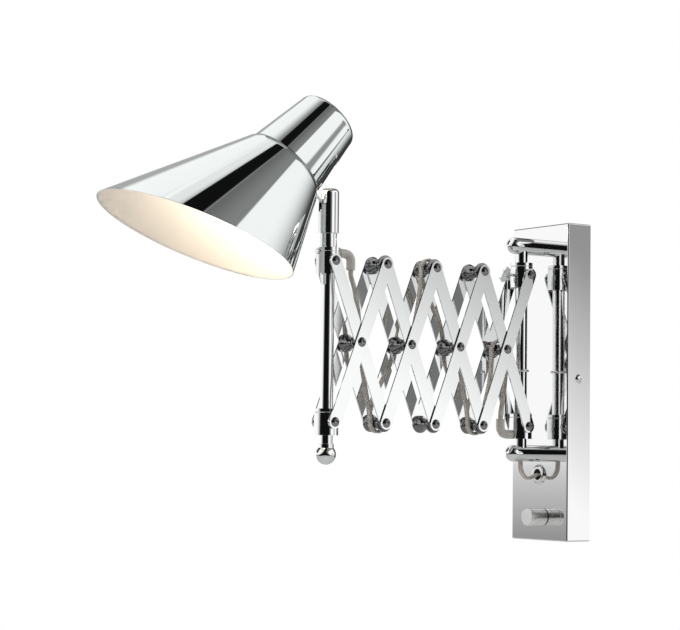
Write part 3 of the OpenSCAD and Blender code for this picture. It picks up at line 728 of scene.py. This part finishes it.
for name, (body, points) in runs.items():
    mesh = lead_mesh(name + "_clear", in_plane(points))
    if name in ("lead_b3", "lead_b0"):
        mesh.materials.append(lead_clear)
        piece = bpy.data.objects.new(name + "_clear", mesh)
        bpy.context.collection.objects.link(piece)
        if name == "lead_b3":
            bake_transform(piece)
        else:
            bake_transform(piece)
        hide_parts(name)
    else:
        new_piece(name + "_clear", mesh, body, lead_clear, name)

new_piece("lead_front_clear", lead_mesh("lead_front_clear", in_plane(front_run)), "front_top", lead_clear,
          "lead_front")
new_piece("lead_rear_clear", lead_mesh("lead_rear_clear", in_plane(rear_run)), "rear_slider", lead_clear)
loop = [(-54.1, -52), (-54.1, -66), (-54.1, -80), (-53.4, -88), (-50, -94), (-44, -96.8), (-38, -95.4),
        (-33, -93.6), (-26, -92.6), (-18, -90), (-11.5, -84), (-8.5, -74), (-8, -62.3)]
new_piece("cord_loop_clear", lead_mesh("cord_loop_clear", in_plane(loop)), "root", lead_clear, "cord_loop")
print("leads", len(runs) + 3)

# %% [markdown]
# ## Studio
# Chrome shows nothing but its surroundings, so the studio is painted into the sky as large soft
# zones: white paper nearly all round, and a few dark cloths and screens between. Real panels
# could stand round the lamp instead, but the sky keeps them out of every view. The camera
# itself sees plain white.

# %% Sky nodes
world = bpy.data.worlds.new("studio")
bpy.context.scene.world = world
world.use_nodes = True
tree = world.node_tree
tree.nodes.clear()


def math_node(kind, a, b=None, c=None):
    inputs = [(i, v) for i, v in enumerate((a, b, c)) if v is not None]
    return add(tree, "ShaderNodeMath", inputs, operation=kind).outputs[0]


def soft_step(value, low, high):
    """0 below low, 1 above high, smooth between (degrees)."""
    return add(tree, "ShaderNodeMapRange", [("Value", value), ("From Min", low), ("From Max", high)],
               interpolation_type="SMOOTHSTEP").outputs[0]


def band(value, low, high, soft):
    """1 between low and high with soft edges."""
    return math_node("MULTIPLY", soft_step(value, low - soft, low + soft),
                     math_node("SUBTRACT", 1.0, soft_step(value, high - soft, high + soft)))


print("sky", world.name)

# %% [markdown]
# ## Directions in the studio
# A zone is easiest to place as on a stage: how far to turn from the camera's own direction,
# and how high to look.

# %% Directions
direction = add(tree, "ShaderNodeTexCoord").outputs["Generated"]


def along(axis):
    return add(tree, "ShaderNodeVectorMath", [(0, direction), (1, tuple(axis))],
               operation="DOT_PRODUCT").outputs["Value"]


side = Vector((math.cos(CAM_AZIMUTH), math.sin(CAM_AZIMUTH), 0))       # to the right of the view
behind = Vector((math.sin(CAM_AZIMUTH), -math.cos(CAM_AZIMUTH), 0))    # from the object to the camera
back, rightward, upward = along(behind), along(side), along((0, 0, 1))
# the turn from the camera's own direction, positive to the right, and the height, in degrees
turn = math_node("MULTIPLY", math_node("ARCTAN2", rightward, back), 180 / math.pi)
height = math_node("MULTIPLY", math_node("ARCSINE", upward), 180 / math.pi)


def edge_plane(b, r, u):
    """Signed distance of a direction from a great circle, given by its pole."""
    return along(b * behind + r * side + u * Vector((0, 0, 1)))


def blended(base, amount, target):
    """base where amount is 0, target where it is 1."""
    return math_node("ADD", math_node("MULTIPLY", base, math_node("SUBTRACT", 1.0, amount)),
                     math_node("MULTIPLY", amount, target))


print("the camera stands towards", [round(c, 3) for c in behind])

# %% [markdown]
# ## Zones of the studio
# A dark screen leans over the lamp and gives every tube its dark core. It fades out softly to
# the left and has a grey cloth along its right side. The far side of the room is dark at eye
# level. Grey paper low on the left lies in front of the box, a black curtain behind it draws
# the edges of the bars, and a paper wall on the right shades their faces.

# %% Screen and cloth
below_top = math_node("SUBTRACT", 1.0, upward)
lower = math_node("POWER", below_top, 3.0)
screen_left = math_node("ADD", math_node("MULTIPLY", edge_plane(-0.42, -0.90, 0.121), -1.0),
                        math_node("MULTIPLY", lower, 0.57))
screen_right = math_node("ADD", edge_plane(-0.161, -0.903, 0.399), math_node("MULTIPLY", lower, 0.66))
cloth_right = math_node("ADD", edge_plane(-0.154, -0.655, 0.739),
                        math_node("MULTIPLY", math_node("MULTIPLY", math_node("MAXIMUM", back, 0.0), 0.84),
                                  math_node("POWER", below_top, 3.0)))
in_front = soft_step(back, -0.35, -0.2)
shadow = math_node("MULTIPLY", soft_step(screen_left, -0.42, 0.02), in_front)
shadow = math_node("MULTIPLY", shadow, soft_step(screen_right, -0.02, 0.02))
screen = math_node("MULTIPLY", soft_step(screen_left, -0.01, 0.01), soft_step(screen_right, -0.02, 0.02))
screen = math_node("MULTIPLY", screen, in_front)
cloth = math_node("MULTIPLY", math_node("SUBTRACT", 1.0, soft_step(screen_right, -0.02, 0.02)),
                  soft_step(cloth_right, -0.015, 0.015))
cloth_light = math_node("SUBTRACT", 0.26, math_node("MULTIPLY", soft_step(screen_right, -0.35, 0.0), 0.1))
print("screen and cloth ready")

# %% Room, paper and curtain
# the far side of the room: on the right dark at the horizon and lighter with height
far_right = soft_step(turn, 100, 145)
far_light = math_node("ADD", math_node("ADD", math_node("MULTIPLY", soft_step(turn, 164, 176), 0.17),
                                       math_node("MULTIPLY", soft_step(height, 40, 60), 0.3)),
                      math_node("MULTIPLY", soft_step(height, 55, 75), 0.6))
far_light = math_node("ADD", far_light, 0.045)
far_left = math_node("MULTIPLY", soft_step(math_node("MULTIPLY", turn, -1.0), 120, 150),
                     band(height, 6, 38, 5))
# a black curtain on the left, above and below eye level, that draws the thin edges of the bars
curtain = math_node("MULTIPLY", band(turn, -138, -98, 4),
                    math_node("ADD", band(height, 10, 48, 3),
                              math_node("SUBTRACT", 1.0, soft_step(height, -14, -8))))
# grey paper low down on the left, which the flat front of the wall box mirrors
low_paper = math_node("MULTIPLY", band(turn, -130, -92, 4),
                      math_node("SUBTRACT", 1.0, soft_step(height, -0.3, 0.2)))
paper_light = add(tree, "ShaderNodeMapRange", [("Value", height), ("From Min", -2.3), ("From Max", -0.2),
                                               ("To Min", 0.32), ("To Max", 0.72)]).outputs[0]
# a paper wall on the right that darkens upwards, which the sides of the bars and the box mirror
wall_zone = math_node("MULTIPLY", band(turn, 63, 88, 3), math_node("SUBTRACT", 1.0, soft_step(height, 8, 13)))
wall_light = add(tree, "ShaderNodeMapRange", [
    ("Value", math_node("ADD", math_node("MULTIPLY", math_node("SUBTRACT", turn, 69.0), 0.7), height)),
    ("From Min", 3.0), ("From Max", 10.0), ("To Min", 1.1), ("To Max", 0.33)]).outputs[0]

print("room, paper and curtain ready")

# %% Zones together
WHITE, FADE = 1.1, 0.88       # light of the white paper, and how much of it the screen's edge takes
light = math_node("SUBTRACT", WHITE, math_node("MULTIPLY", shadow, FADE))
light = blended(light, far_right, far_light)
light = blended(light, far_left, 0.45)
light = blended(light, curtain, 0.03)
light = blended(light, low_paper, paper_light)
light = blended(light, cloth, cloth_light)
light = blended(light, wall_zone, wall_light)
light = blended(light, screen, 0.006)
seen = add(tree, "ShaderNodeLightPath").outputs["Is Camera Ray"]
reflected = add(tree, "ShaderNodeBackground", [("Color", (1, 1, 1, 1)), ("Strength", light)])
plain = add(tree, "ShaderNodeBackground", [("Color", (1, 1, 1, 1)), ("Strength", 1.0)])
mixed = add(tree, "ShaderNodeMixShader", [(0, seen), (1, reflected.outputs[0]), (2, plain.outputs[0])])
add(tree, "ShaderNodeOutputWorld", [("Surface", mixed.outputs[0])])
bpy.context.scene.view_settings.view_transform = "Standard"
print("studio", len(tree.nodes), "nodes")

# %% [markdown]
# ## Lamp
# One large soft disk lights the enamel, the plastics and the floor. It is hidden from
# reflections, which the sky alone should fill.

# %% Lamp
def soft_light(name, at_point, towards, size, power, colour=(1, 1, 1)):
    data = bpy.data.lights.new(name, "AREA")
    data.shape = "DISK"
    data.size = size
    data.energy = power
    data.color = colour
    lamp = bpy.data.objects.new(name, data)
    bpy.context.collection.objects.link(lamp)
    aim = (Vector(towards) - Vector(at_point)).to_track_quat("-Z", "Y")
    lamp.matrix_world = Matrix.Translation(at_point) @ aim.to_matrix().to_4x4()
    lamp.visible_camera = False
    return lamp


key = soft_light("key", Vector((0.9, -0.9, 1.3)), (0, -0.25, 0), 0.5, 6)
key.visible_glossy = False
print("lamp", key.name, key.data.energy, "W")

# %% [markdown]
# ## Floor
# A plain pale floor well below the lamp.

# %% Floor
bpy.ops.mesh.primitive_plane_add(size=7, location=(0, 0, -0.9))
floor = bpy.context.object
floor.name = "floor"
paper, tree, shader = new_material("pale_floor", Base_Color=(0.9, 0.9, 0.9, 1), Roughness=0.8)
rough_and_bump(tree, shader, 30, 0.75, 0.85, 0)
floor.data.materials.append(paper)
print("floor at", floor.location.z)
